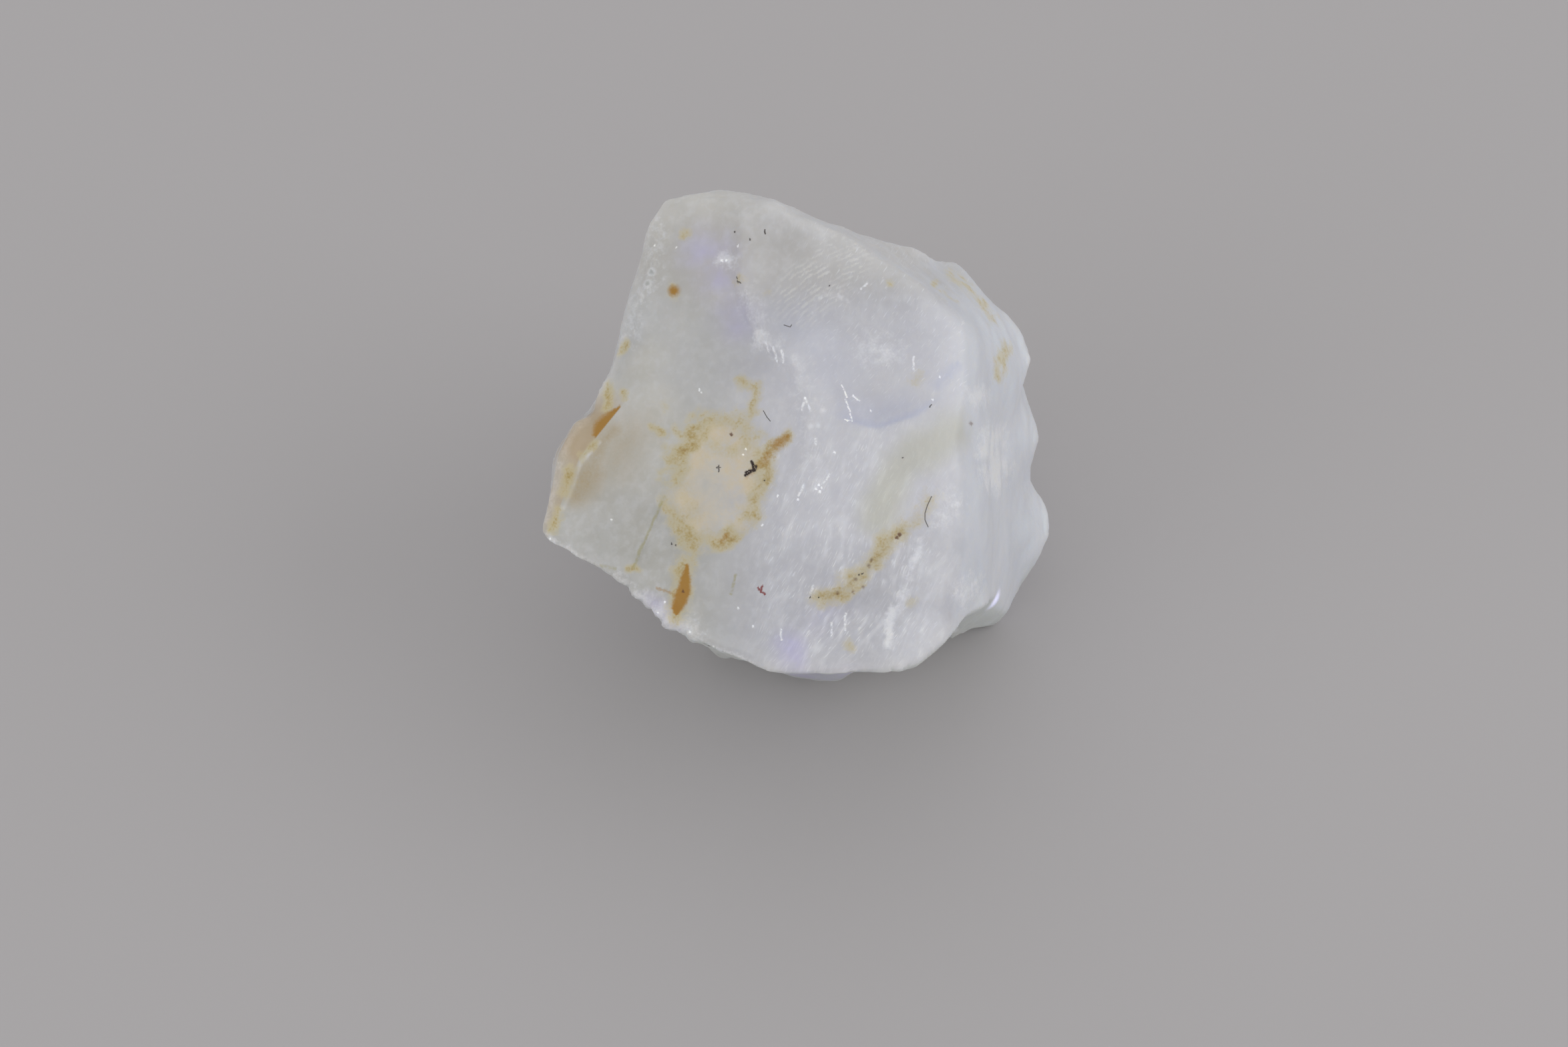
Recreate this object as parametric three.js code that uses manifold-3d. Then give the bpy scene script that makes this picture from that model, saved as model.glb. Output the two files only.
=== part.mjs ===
// Rough andesine: one broken cleavage fragment of plagioclase feldspar, about 8 mm across.
//
// The stone is a single solid. A block of hand-placed corners gives its broad cleavage face,
// its undercut front and its blunt rear. Its broken skin is roughened and swells into lobes
// on the right flank. Shell-shaped fractures, thin split plates, hollows and crumbled edges
// are then cut out of it, and last the small flat facet that it stands on.
//
// Millimetres, +Z up. The stone stands on a small flat facet at Z = 0, and its broad cleavage
// face leans back from the front (-Y) towards the rear (+Y).

import * as THREE from "three";
import { ConvexGeometry } from "three/addons/geometries/ConvexGeometry.js";
import { ImprovedNoise } from "three/addons/math/ImprovedNoise.js";
import { mergeVertices } from "three/addons/utils/BufferGeometryUtils.js";
import Module from "manifold-3d";

const wasm = await Module();
wasm.setup();

// ---------------------------------------------------------------- driving dimensions

const SKIN_EDGE = 0.48; // the block's skin is divided until no edge is longer
const FLOOR_EDGE = 0.8; // the same for the cleavage floors, which are smoother
const PLATE_HEIGHT = 3; // more than enough for a split plate to reach out of the stone
const SKIN_WAVES = { depth: 0.09, pitch: 0.9, seed: 3.7 }; // unevenness of broken skin
const FLOOR_WAVES = { depth: 0.03, pitch: 1.3, seed: 11.3 }; // unevenness of cleavage
// How far and how often each kind of ball swells, as a share of its radius and as waves
// along it, and how finely its skin is divided.
const HOLLOW = { share: 0.1, waves: 2.2, divisions: 5 };
const SHELL = { share: 0.022, waves: 3.4, divisions: 12 };
const CRUMB = { share: 0.1, waves: 2.2, divisions: 2 };
// The bites along a crumbled edge are this much longer than wide, sit this share of their
// radius above the edge, and differ by these shares from one to the next.
const CRUMB_ROW = { stretch: 1.3, rise: 0.55, riseSpread: 0.3, sizeSpread: 0.35 };
const FOOT_LEVEL = 0.08; // the flat resting facet takes this much off the lowest corners
const GROUND_SIDE = 20; // the block that cuts that facet is wider than the stone
const GROUND_DEPTH = 4;

// ---------------------------------------------------------------- the block's corners

// The rim of the broad cleavage face: along the front from the sharp left corner, up the
// right shoulder, back along the far rim, and down the left rim.
const FACE_FRONT = [
  [-3.75, -1.48, 4.52],
  [-3.13, -2.09, 4.43],
  [-2.25, -2.86, 4.4],
  [-1.22, -3.55, 4.5],
  [-0.27, -4.02, 4.55],
  [0.54, -4.12, 4.52],
  [1.31, -3.97, 4.46],
  [2.07, -3.4, 4.3],
  [2.75, -2.4, 3.85],
];
const FACE_RIGHT = [
  [2.19, -3.0, 4.6],
  [2.38, -2.26, 5.08],
  [2.38, -1.23, 5.8],
  [2.53, 0.01, 6.41],
  [2.49, 0.65, 6.86],
];
const FACE_REAR = [
  [1.81, 1.07, 7.15],
  [0.95, 1.57, 7.37],
  [0.55, 1.82, 7.42],
  [-0.38, 2.33, 7.53],
  [-1.02, 2.1, 7.3],
  [-1.9, 2.66, 7.0],
];
const FACE_LEFT = [
  [-2.15, 2.4, 6.8],
  [-2.28, 2.21, 6.67],
  [-2.5, 1.25, 6.27],
  [-2.84, 0.31, 5.78],
  [-3.61, -0.76, 4.98],
];
const FACE_CROWN = [
  [-0.2, -0.95, 6.22],
  [1.2, -0.9, 6.25],
  [0.3, 0.6, 6.95],
];

// The undercut below the front rim: a steep smooth facet ends in a ridge that runs down to
// the right, and the keel runs down from the left corner.
const FRONT_RIDGE = [
  [0.18, -2.85, 3.12],
  [1.55, -2.0, 1.9],
  [3.15, -0.72, 1.28],
];
const LEFT_KEEL = [
  [-3.62, 0.17, 3.72],
  [-3.2, 0.1, 2.56],
  [-2.4, 0.23, 1.75],
  [-1.9, 0.2, 1.0],
];

// The underside, which curves up a little towards the rear and the right.
const FOOT = [
  [-1.6, -0.16, 0],
  [-0.21, -0.95, 0],
  [1.05, -1.0, 0],
  [2.42, -0.58, 0],
  [3.1, -0.09, 0.1],
  [3.0, 1.21, 0.3],
  [1.8, 2.4, 0.35],
  [-0.21, 2.4, 0.25],
  [-1.47, 1.42, 0.05],
];

const RIGHT_FLANK = [
  [3.1, -1.02, 2.23],
  [3.15, 0.0, 0.35],
  [3.2, 0.4, 2.5],
  [3.15, 1.2, 4.6],
];
const REAR = [
  [-2.0, 3.0, 5.7],
  [-2.6, 2.4, 3.6],
  [-1.7, 2.4, 1.3],
  [0.3, 4.1, 3.8],
  [0.8, 3.4, 1.2],
  [1.5, 2.9, 5.7],
  [2.3, 2.85, 5.0],
  [3.2, 2.6, 3.7],
  [3.1, 2.5, 1.5],
];

const ALL_CORNERS = [
  FACE_FRONT, FACE_RIGHT, FACE_REAR, FACE_LEFT, FACE_CROWN,
  FRONT_RIDGE, LEFT_KEEL, FOOT, RIGHT_FLANK, REAR,
].flat();

// ---------------------------------------------------------------- swellings, ledges, fractures

// Broad swellings of the broken skin, highest at a point and fading out around it. A
// negative height is a dip.
const SWELLINGS = [
  // the lobes of the right flank, from the lowest up
  { at: [3.2, 0.35, 1.7], reach: 0.8, height: 0.45 },
  { at: [3.3, 1.1, 1.35], reach: 0.85, height: 0.44 },
  { at: [3.3, 1.5, 2.95], reach: 0.75, height: 0.45 },
  { at: [3.25, 1.95, 4.2], reach: 0.7, height: 0.35 },
  { at: [2.6, 2.3, 5.1], reach: 0.8, height: 0.28 },
  // the furrows between the lobes
  { at: [3.2, 1.1, 2.3], reach: 0.45, height: -0.03 },
  { at: [3.2, 1.7, 3.65], reach: 0.45, height: -0.14 },
  // behind the far rim, on the left and on the right
  { at: [-0.75, 2.75, 6.6], reach: 0.6, height: 0.42 },
  { at: [-1.4, 2.7, 6.9], reach: 0.5, height: 0.16 },
  { at: [1.6, 2.3, 6.2], reach: 0.6, height: 0.26 },
  { at: [1.9, 2.85, 5.4], reach: 0.4, height: 0.16 },
  // the dip of the left rim
  { at: [-2.95, 0.9, 5.5], reach: 0.9, height: -0.34 },
];

// Hollows, each an uneven ball with three radii, tipped about X and then turned about Z, in
// degrees: the left rim, the valley behind the raised lip that runs to the left corner, and
// the dip of the far rim.
const HOLLOWS = [
  { at: [-4.0, 0.35, 5.75], radii: [1.1, 0.8, 1.1] },
  { at: [-2.75, -1.05, 5.72], radii: [0.42, 1.35, 0.55], tip: 26, turn: -33 },
  { at: [1.1, 2.9, 8.25], radii: [1.2, 1.2, 1.25] },
];

// Shell-shaped fractures: a ball of this radius bites this deep into the skin at a point,
// coming from the direction that the fracture faces.
const SHELLS = [
  // the undercut: on the left, at the middle, then above and below the front ridge
  { at: [-2.0, -1.7, 2.6], facing: [-0.6, -0.65, -0.47], radius: 9.0, depth: 0.36 },
  { at: [0.0, -2.4, 2.3], facing: [0.05, -0.88, -0.47], radius: 7.0, depth: 0.3 },
  { at: [2.1, -2.5, 2.9], facing: [0.55, -0.7, -0.45], radius: 7.0, depth: 0.24 },
  { at: [1.9, -1.35, 1.0], facing: [0.3, -0.75, -0.6], radius: 6.0, depth: 0.25 },
  // the rear: left, right, and the slope up to the far rim
  { at: [-1.5, 3.1, 3.6], facing: [-0.5, 0.85, 0.0], radius: 8.0, depth: 0.38 },
  { at: [1.9, 3.1, 2.4], facing: [0.5, 0.85, -0.1], radius: 6.0, depth: 0.36 },
  { at: [0.9, 3.1, 5.3], facing: [0.15, 0.8, 0.5], radius: 5.0, depth: 0.2 },
  // the left side, high and low
  { at: [-2.9, 1.6, 4.4], facing: [-0.9, 0.35, 0.1], radius: 7.0, depth: 0.28 },
  { at: [-2.3, 1.2, 1.8], facing: [-0.75, 0.1, -0.6], radius: 6.0, depth: 0.28 },
];

// Plates that have split away from the broad face along its cleavage, leaving low ledges.
// A floor is the plane z = height + riseX * x + riseY * y, and an outline rings the plate
// that is gone as seen from above. An outline may run out past the edge of the stone.
const SPLIT_PLATES = [
  {
    // the whole left half, down to the ragged step along the middle
    floor: { height: 6.43, riseX: 0.268, riseY: 0.4365 },
    outline: [
      [-0.95, 3.4], [-0.82, 1.24], [-0.5, 0.46], [-0.06, 0.08], [0.14, -0.53],
      [0.3, -1.63], [-0.35, -2.3], [-1.2, -3.2], [-1.9, -4.2], [-4.6, -4.2], [-4.6, 3.4],
    ],
  },
  {
    // the crescent on the right: deepest along its curved lower lip
    floor: { height: 6.69, riseX: -0.1, riseY: 0.52 },
    outline: [
      [0.42, -0.5], [0.62, -0.73], [1.05, -0.84], [1.45, -0.78], [1.85, -0.5],
      [2.15, -0.2], [2.6, 0.05], [2.9, 0.9], [1.5, 1.9], [0.6, 1.1], [0.3, 0.1],
    ],
  },
  {
    // the lower right, past a curved crack
    floor: { height: 6.64, riseX: -0.1, riseY: 0.52 },
    outline: [
      [3.2, -0.3], [1.96, -1.54], [1.47, -2.16], [1.05, -2.53], [0.54, -2.95],
      [0.25, -3.04], [0.2, -4.6], [3.8, -4.6],
    ],
  },
  {
    // the smooth facet at the left corner, between a straight crack and the raised lip
    floor: { height: 6.76, riseX: 0.406, riseY: 0.518 },
    outline: [
      [-2.63, -0.05], [-2.96, -0.37], [-3.3, -0.91], [-3.6, -1.44], [-3.9, -2.0],
      [-2.6, -3.2], [-2.4, -2.24], [-2.0, -1.46], [-2.3, -0.6],
    ],
  },
];

// Crumbled edges: a row of small bites from one point to another, each a little different.
const CRUMBLED_EDGES = [
  { from: [-3.7, -1.72, 4.5], to: [-1.3, -3.66, 4.5], count: 12, radius: 0.15 },
  { from: [-2.2, 2.5, 6.85], to: [-2.7, 1.0, 6.2], count: 6, radius: 0.1 },
];

// ---------------------------------------------------------------- solids

/** The same geometry with only its positions, and with its shared corners merged. */
function merged(geometry) {
  const bare = geometry.index ? geometry.toNonIndexed() : geometry.clone();
  for (const name of Object.keys(bare.attributes)) {
    if (name !== "position") bare.deleteAttribute(name);
  }
  return mergeVertices(bare, 1e-5);
}

/** A closed surface as a solid that can be joined and cut. */
function solidFrom(geometry) {
  const { attributes, index } = merged(geometry);
  const mesh = new wasm.Mesh({
    numProp: 3,
    vertProperties: new Float32Array(attributes.position.array),
    triVerts: new Uint32Array(index.array),
  });
  return new wasm.Manifold(mesh);
}

/** A solid back as an indexed surface. */
function geometryFrom(solid) {
  const mesh = solid.getMesh();
  const geometry = new THREE.BufferGeometry();
  geometry.setAttribute("position", new THREE.BufferAttribute(mesh.vertProperties, 3));
  geometry.setIndex(new THREE.BufferAttribute(mesh.triVerts, 1));
  return geometry;
}

const noise = new ImprovedNoise();

/** Divide the triangles until no edge is longer than the limit; neighbours stay joined. */
function divide(geometry, limit) {
  const corners = Array.from(geometry.attributes.position.array);
  const cornerAt = (i) => new THREE.Vector3().fromArray(corners, 3 * i);
  let faces = Array.from(geometry.index.array);
  let middles;

  function middleOf(a, b) {
    const key = a < b ? `${a} ${b}` : `${b} ${a}`;
    if (!middles.has(key)) {
      const start = cornerAt(a);
      const end = cornerAt(b);
      const tooLong = start.distanceTo(end) > limit;
      if (tooLong) corners.push(...start.lerp(end, 0.5).toArray());
      middles.set(key, tooLong ? corners.length / 3 - 1 : -1);
    }
    return middles.get(key);
  }

  function divideFace(a, b, c) {
    const ab = middleOf(a, b);
    const bc = middleOf(b, c);
    const ca = middleOf(c, a);
    const split = [ab, bc, ca].filter((middle) => middle >= 0).length;
    if (split === 0) return [a, b, c];
    if (split === 3) return [a, ab, ca, ab, b, bc, ca, bc, c, ab, bc, ca];
    if (ab < 0 || (split === 2 && bc < 0)) return divideFace(b, c, a);
    if (split === 1) return [a, ab, c, ab, b, c];
    return [a, ab, c, ab, bc, c, ab, b, bc];
  }

  let before = 0;
  while (faces.length > before) {
    before = faces.length;
    middles = new Map();
    const divided = [];
    for (let f = 0; f < before; f += 3) {
      divided.push(...divideFace(faces[f], faces[f + 1], faces[f + 2]));
    }
    faces = divided;
  }
  const fine = new THREE.BufferGeometry();
  fine.setAttribute("position", new THREE.Float32BufferAttribute(corners, 3));
  fine.setIndex(faces);
  return fine;
}

/** A geometry as a solid whose corners are pushed in or out by noise and by swellings. */
function roughened(geometry, longestEdge, { depth, pitch, seed }, swellings = []) {
  const fine = divide(merged(geometry), longestEdge);
  fine.computeVertexNormals();
  const { position, normal } = fine.attributes;
  const corner = new THREE.Vector3();
  const outward = new THREE.Vector3();
  for (let i = 0; i < position.count; i += 1) {
    corner.fromBufferAttribute(position, i);
    outward.fromBufferAttribute(normal, i);
    const [x, y, z] = corner.clone().divideScalar(pitch).toArray();
    let push = depth * noise.noise(x + seed, y - seed, z + seed);
    for (const { at, reach, height } of swellings) {
      const away = corner.distanceTo(new THREE.Vector3(...at)) / reach;
      push += height * Math.exp(-away * away);
    }
    corner.addScaledVector(outward, push);
    position.setXYZ(i, corner.x, corner.y, corner.z);
  }
  return solidFrom(fine);
}

function hull(corners) {
  const geometry = new ConvexGeometry(corners.map((corner) => new THREE.Vector3(...corner)));
  return roughened(geometry, SKIN_EDGE, SKIN_WAVES, SWELLINGS);
}

/** An uneven ball: its skin swells and sinks by a share of its radius. */
function ball({ at, radii, turn = 0, tip = 0 }, { share, waves, divisions }) {
  const geometry = new THREE.IcosahedronGeometry(1, divisions);
  const corners = geometry.attributes.position;
  const corner = new THREE.Vector3();
  for (let i = 0; i < corners.count; i += 1) {
    corner.fromBufferAttribute(corners, i);
    const [x, y, z] = corner.clone().multiplyScalar(waves).toArray();
    const swell = share * noise.noise(x + at[0], y + at[1], z + at[2]);
    corner.multiplyScalar(1 + swell);
    corners.setXYZ(i, corner.x, corner.y, corner.z);
  }
  geometry.scale(...radii);
  geometry.rotateX(THREE.MathUtils.degToRad(tip));
  geometry.rotateZ(THREE.MathUtils.degToRad(turn));
  geometry.translate(...at);
  return solidFrom(geometry);
}

function hollow(form) {
  return ball(form, HOLLOW);
}

/** The ball whose cap, of the given depth, is the piece that a shell-shaped fracture took. */
function shell({ at, facing, radius, depth }) {
  const outward = new THREE.Vector3(...facing).normalize();
  const centre = new THREE.Vector3(...at).addScaledVector(outward, radius - depth);
  return ball({ at: centre.toArray(), radii: [radius, radius, radius] }, SHELL);
}

/** A plate that split away: an upright prism with the sloping cleavage plane as its floor. */
function plate({ floor, outline }) {
  const ring = new THREE.Shape(outline.map(([x, y]) => new THREE.Vector2(x, y)));
  const geometry = new THREE.ExtrudeGeometry(ring, { depth: PLATE_HEIGHT, bevelEnabled: false });
  const corners = geometry.attributes.position;
  for (let i = 0; i < corners.count; i += 1) {
    const rise = floor.riseX * corners.getX(i) + floor.riseY * corners.getY(i);
    corners.setZ(i, corners.getZ(i) + floor.height + rise);
  }
  return roughened(geometry, FLOOR_EDGE, FLOOR_WAVES);
}

/** Small bites along an edge, no two quite the same size or height. */
function crumbs({ from, to, count, radius }) {
  const start = new THREE.Vector3(...from);
  const end = new THREE.Vector3(...to);
  const { stretch, rise, riseSpread, sizeSpread } = CRUMB_ROW;
  const bites = [];
  for (let i = 0; i < count; i += 1) {
    const at = start.clone().lerp(end, i / (count - 1));
    at.z += radius * (rise + riseSpread * Math.cos(1.7 * i));
    const size = radius * (1 + sizeSpread * Math.sin(2.4 * i));
    bites.push(ball({ at: at.toArray(), radii: [size * stretch, size, size] }, CRUMB));
  }
  return bites;
}

// ---------------------------------------------------------------- the stone

const cut = (stone, form) => stone.subtract(form);

const block = hull(ALL_CORNERS);
const chipped = SHELLS.map(shell).reduce(cut, block);
const split = SPLIT_PLATES.map(plate).reduce(cut, chipped);
const hollowed = HOLLOWS.map(hollow).reduce(cut, split);
const crumbled = CRUMBLED_EDGES.flatMap(crumbs).reduce(cut, hollowed);

// The facet that it stands on is flat, so it is cut last.
const ground = new THREE.BoxGeometry(GROUND_SIDE, GROUND_SIDE, GROUND_DEPTH);
ground.translate(0, 0, FOOT_LEVEL - GROUND_DEPTH / 2);
const standing = crumbled.subtract(solidFrom(ground));

const stoneGeometry = geometryFrom(standing);
stoneGeometry.computeBoundingBox();
const middle = stoneGeometry.boundingBox.getCenter(new THREE.Vector3());
stoneGeometry.translate(-middle.x, -middle.y, -stoneGeometry.boundingBox.min.z);
stoneGeometry.computeVertexNormals();

const andesine = new THREE.Mesh(
  stoneGeometry,
  new THREE.MeshStandardMaterial({ color: 0xbcc0c4, roughness: 0.35, metalness: 0 }),
);
andesine.name = "andesine_stone";

const part = new THREE.Group();
part.add(andesine);
export default part;
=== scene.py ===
# %% [markdown]
# # A rough piece of andesine
#
# This lesson dresses one small broken piece of andesine, a milky feldspar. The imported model
# already gives its true shape and size: a broad cleavage face that leans back, an undercut
# front, a lobed right flank and a flat facet to rest on. Here the skin gets its fine relief
# and the stone gets its substance: a cloudy, half see-through body with rust stains, white
# veils, bluish sheens, specks and a few fibres of dust on it.
#
# Everything is in metres in the model's own frame, but the stone is only 8 mm across, so the
# lesson thinks in millimetres and names the factor once.

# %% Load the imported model
import math

import bpy
import numpy as np
from mathutils import Matrix, Vector, noise


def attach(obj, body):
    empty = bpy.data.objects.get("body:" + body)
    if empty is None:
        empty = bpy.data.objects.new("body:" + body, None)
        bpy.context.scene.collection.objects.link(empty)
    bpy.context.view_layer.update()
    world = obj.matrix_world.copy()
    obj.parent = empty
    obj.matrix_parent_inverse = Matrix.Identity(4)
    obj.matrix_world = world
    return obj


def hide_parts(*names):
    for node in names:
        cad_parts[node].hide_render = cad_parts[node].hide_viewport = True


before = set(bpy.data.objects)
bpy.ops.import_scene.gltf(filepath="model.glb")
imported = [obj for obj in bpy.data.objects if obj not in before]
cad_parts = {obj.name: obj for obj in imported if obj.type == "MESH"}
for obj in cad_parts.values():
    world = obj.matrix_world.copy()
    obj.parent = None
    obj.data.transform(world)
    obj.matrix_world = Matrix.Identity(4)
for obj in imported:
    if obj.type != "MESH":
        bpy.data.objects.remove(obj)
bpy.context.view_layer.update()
MM = 0.001
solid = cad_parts["andesine_stone"]
print("triangles in the solid:", len(solid.data.polygons))

# %% [markdown]
# ## Camera
#
# The view looks steeply down at the broad face, almost square to it, through a long lens. A
# long lens from further away keeps a small stone from looking like a boulder. The camera is
# made first, because the map of the face, which carries all the markings, is laid out square
# to the same slope.

# %% The camera, square to the slope of the broad face
VIEW_RISE = math.radians(55)
VIEW_POINT = Vector((-0.26, 1.80, -0.08)) * MM
VIEW_DISTANCE = 86.0 * MM
LENS = 125.6
SENSOR = 36.0
NEAR_LIMIT = 1.0 * MM
FAR_LIMIT = 10.0


def new_object(name, data):
    """An object that holds a camera, a mesh or a lamp, put into the scene."""
    made = bpy.data.objects.new(name, data)
    bpy.context.scene.collection.objects.link(made)
    return made


towards_viewer = Vector((0, -math.cos(VIEW_RISE), math.sin(VIEW_RISE)))
camera_data = bpy.data.cameras.new("stone_view")
camera_data.lens = LENS
camera_data.sensor_width = SENSOR
camera_data.clip_start = NEAR_LIMIT
camera_data.clip_end = FAR_LIMIT
camera = new_object("stone_view", camera_data)
camera.location = VIEW_POINT + towards_viewer * VIEW_DISTANCE
camera.rotation_mode = "QUATERNION"
camera.rotation_quaternion = (-towards_viewer).to_track_quat("-Z", "Y")
bpy.context.scene.camera = camera
print("camera at, mm:", [round(place / MM, 1) for place in camera.location])

# %% [markdown]
# ## Skin
#
# The solid is faceted, with flats about half a millimetre across. Real broken feldspar has
# far finer relief. One could sculpt it, or divide the solid and push its points about. Here a
# voxel remesh first gives even, small squares all over, which take relief equally well
# everywhere. Then three degrees of smoothing: an even one that draws the points in and lets
# them out again, so that the facets go and the sharp outer edges stay, a long, soft one for
# the worn ledges inside the broad face, and a longer one for its round right shoulder.

# %% An even, fine skin
VOXEL = 0.055


def fine_skin(source, name):
    """A finely divided copy of a mesh object, in millimetres while it is being worked."""
    mesh = source.data.copy()
    mesh.transform(Matrix.Scale(1 / MM, 4) @ source.matrix_world)
    piece = new_object(name, mesh)
    remesh = piece.modifiers.new("even_squares", "REMESH")
    remesh.mode = "VOXEL"
    remesh.voxel_size = VOXEL
    ready = piece.evaluated_get(bpy.context.evaluated_depsgraph_get())
    fine = bpy.data.meshes.new_from_object(ready)
    piece.modifiers.clear()
    piece.data = fine
    return piece


def points_of(mesh):
    places = np.zeros(len(mesh.vertices) * 3)
    mesh.vertices.foreach_get("co", places)
    return places.reshape(-1, 3)


def normals_of(mesh):
    directions = np.zeros(len(mesh.vertices) * 3)
    mesh.vertices.foreach_get("normal", directions)
    return directions.reshape(-1, 3)


def put_points(mesh, places):
    mesh.vertices.foreach_set("co", places.ravel())
    mesh.update()


stone = fine_skin(solid, "andesine_skin")
skin = stone.data
print("skin points:", len(skin.vertices), "squares:", len(skin.polygons))

# %% Smooth it
EVEN_ROUNDS = 20
DRAW_IN = 0.50
LET_OUT = -0.53
SOFT_ROUNDS = 50
SHOULDER_ROUNDS = 150
FACE_NORMAL = np.array((-0.02, -0.42, 0.91))


def eased(values, low, high):
    """0 below low, 1 above high, and an S curve between."""
    share = np.clip((values - low) / (high - low), 0, 1)
    return share * share * (3 - 2 * share)


def smoothed(mesh, places, shares):
    """The points drawn towards the mean of their neighbours, once for each share."""
    edges = np.zeros(len(mesh.edges) * 2, int)
    mesh.edges.foreach_get("vertices", edges)
    ends = edges.reshape(-1, 2)
    first = np.concatenate((ends[:, 0], ends[:, 1]))
    second = np.concatenate((ends[:, 1], ends[:, 0]))
    count = np.bincount(first, minlength=len(places))
    for share in shares:
        total = [np.bincount(first, places[second, axis], len(places)) for axis in range(3)]
        places = places + share * (np.stack(total, axis=1) / count[:, None] - places)
    return places


even = smoothed(skin, points_of(skin), [DRAW_IN, LET_OUT] * EVEN_ROUNDS)
soft = smoothed(skin, even, [DRAW_IN] * SOFT_ROUNDS)
rounder = smoothed(skin, soft, [DRAW_IN] * SHOULDER_ROUNDS)
print("longest move, mm:", round(float(np.linalg.norm(rounder - even, axis=1).max()), 2))

# %% [markdown]
# ## Relief
#
# Cleavage is smooth but never quite flat, and the broken sides are rough at every scale, with
# small ledges where the cleavage planes come out. So the relief is a few numbers for each
# point: how much of it is cleavage, how near it lies to the ragged ridge, to the crumbled
# front edge or to a crack, and how coarse the grain is there. The map of the face has
# "across" along X and "up" along the slope. The undercut and the far side share that map with
# the face that hides them, so a mask of the foremost points keeps the face's marks off them.

# %% The map of the face, and the lines that relief and colour share
SLOPE_UP = np.array((0, math.sin(VIEW_RISE), math.cos(VIEW_RISE)))
VIEWER_WAY = np.array(towards_viewer)

RAGGED_RIDGE = [
    (-0.84, 4.84), (-0.53, 4.08), (-0.08, 3.67), (0.08, 3.17), (0.18, 2.5), (0.23, 1.94),
]
CRUMBLED_FRONT = [
    (-3.7, 1.2), (-3.19, 0.78), (-2.88, 0.55), (-2.32, 0.24), (-1.86, -0.04), (-1.64, -0.13),
]
SLOW_RISE = 0.75
FRONT_RIM = [(-0.2, -0.88), (0.4, -0.95), (1.3, -0.9), (2.2, -0.3)]
BUBBLY_BEVEL = [(-2.15, 5.8), (-2.2, 5.1), (-2.3, 4.9), (-2.6, 4.1)]
LEFT_CREASE = [(-2.65, 3.15), (-2.94, 2.71), (-3.26, 2.4), (-3.65, 1.43)]
CRACK = [(-2.01, 1.82), (-2.24, 1.28), (-2.37, 1.01), (-2.45, 0.79), (-2.55, 0.77)]
CURVED_LEDGE = [
    (1.43, 1.3), (1.3, 1.25), (1.03, 0.89), (0.83, 0.69), (0.61, 0.47), (0.41, 0.37), (0.22, 0.37),
]


def face_map_of(places):
    return np.stack((places[:, 0], places @ SLOPE_UP), axis=1)


def away_from(on_map, path):
    """How far each place on a map lies from a line through the path's points."""
    nearest = np.full(len(on_map), np.inf)
    for start, end in zip(path, path[1:] or path):
        start = np.array(start)
        along = np.array(end) - start
        share = np.clip((on_map - start) @ along / max(along @ along, 1e-9), 0, 1)
        away = np.linalg.norm(on_map - start - share[:, None] * along, axis=1)
        nearest = np.minimum(nearest, away)
    return nearest


def nearness(on_map, path, reach):
    return 1 - eased(away_from(on_map, path), 0, reach)


def rough_field(places, pitch, octaves, shift):
    """Smooth noise of about -1 to 1 for each point, with finer noise on top of it."""
    moved = places / pitch + shift
    return np.array([noise.fractal(Vector(place), 1.0, 2.0, octaves) for place in moved])


def ledges(places, pitch, waver):
    """A saw edge from 0 to 1 across the cleavage, as thin layers break off."""
    layer = (places @ FACE_NORMAL + waver) / pitch
    rise = layer - np.floor(layer)
    return np.minimum(rise / SLOW_RISE, (1 - rise) / (1 - SLOW_RISE))


print("up on the map of the face:", SLOPE_UP.round(2))

# %% Which points lie in front
CELL = 0.15
ROW_KEY = 1000
WELL_BEHIND = (0.5, 0.9)


def foremost(places):
    """1 for points that nothing hides when the face is looked at squarely, 0 behind others."""
    depth = places @ VIEWER_WAY
    cells = np.floor(face_map_of(places) / CELL).astype(int)
    keys, cell_of = np.unique(cells[:, 0] * ROW_KEY + cells[:, 1], return_inverse=True)
    nearest = np.full(len(keys), -np.inf)
    np.maximum.at(nearest, cell_of, depth)
    return 1 - eased(nearest[cell_of] - depth, *WELL_BEHIND)


in_front = foremost(soft)
print("share of the skin in front:", round(float(in_front.mean()), 2))

# %% Wear down the ledges inside the broad face, and the right shoulder
WORN_FACE = 0.85
WORN_TURN = (0.3, 0.72)
SHOULDER_TURN = (-0.1, 0.4)
SHOULDER_ACROSS = (1.5, 2.3)

put_points(skin, soft)
outward = normals_of(skin)
rim = nearness(face_map_of(soft), FRONT_RIM, reach=0.5)
worn = WORN_FACE * eased(outward @ FACE_NORMAL, *WORN_TURN) * (1 - rim)
shoulder = eased(outward @ VIEWER_WAY, *SHOULDER_TURN) * eased(soft[:, 0], *SHOULDER_ACROSS)
places = even + (soft - even) * worn[:, None]
put_points(skin, places + (rounder - places) * (WORN_FACE * shoulder * (1 - rim))[:, None])
print("worn share of the skin:", round(float(worn.mean()), 2))

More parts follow.
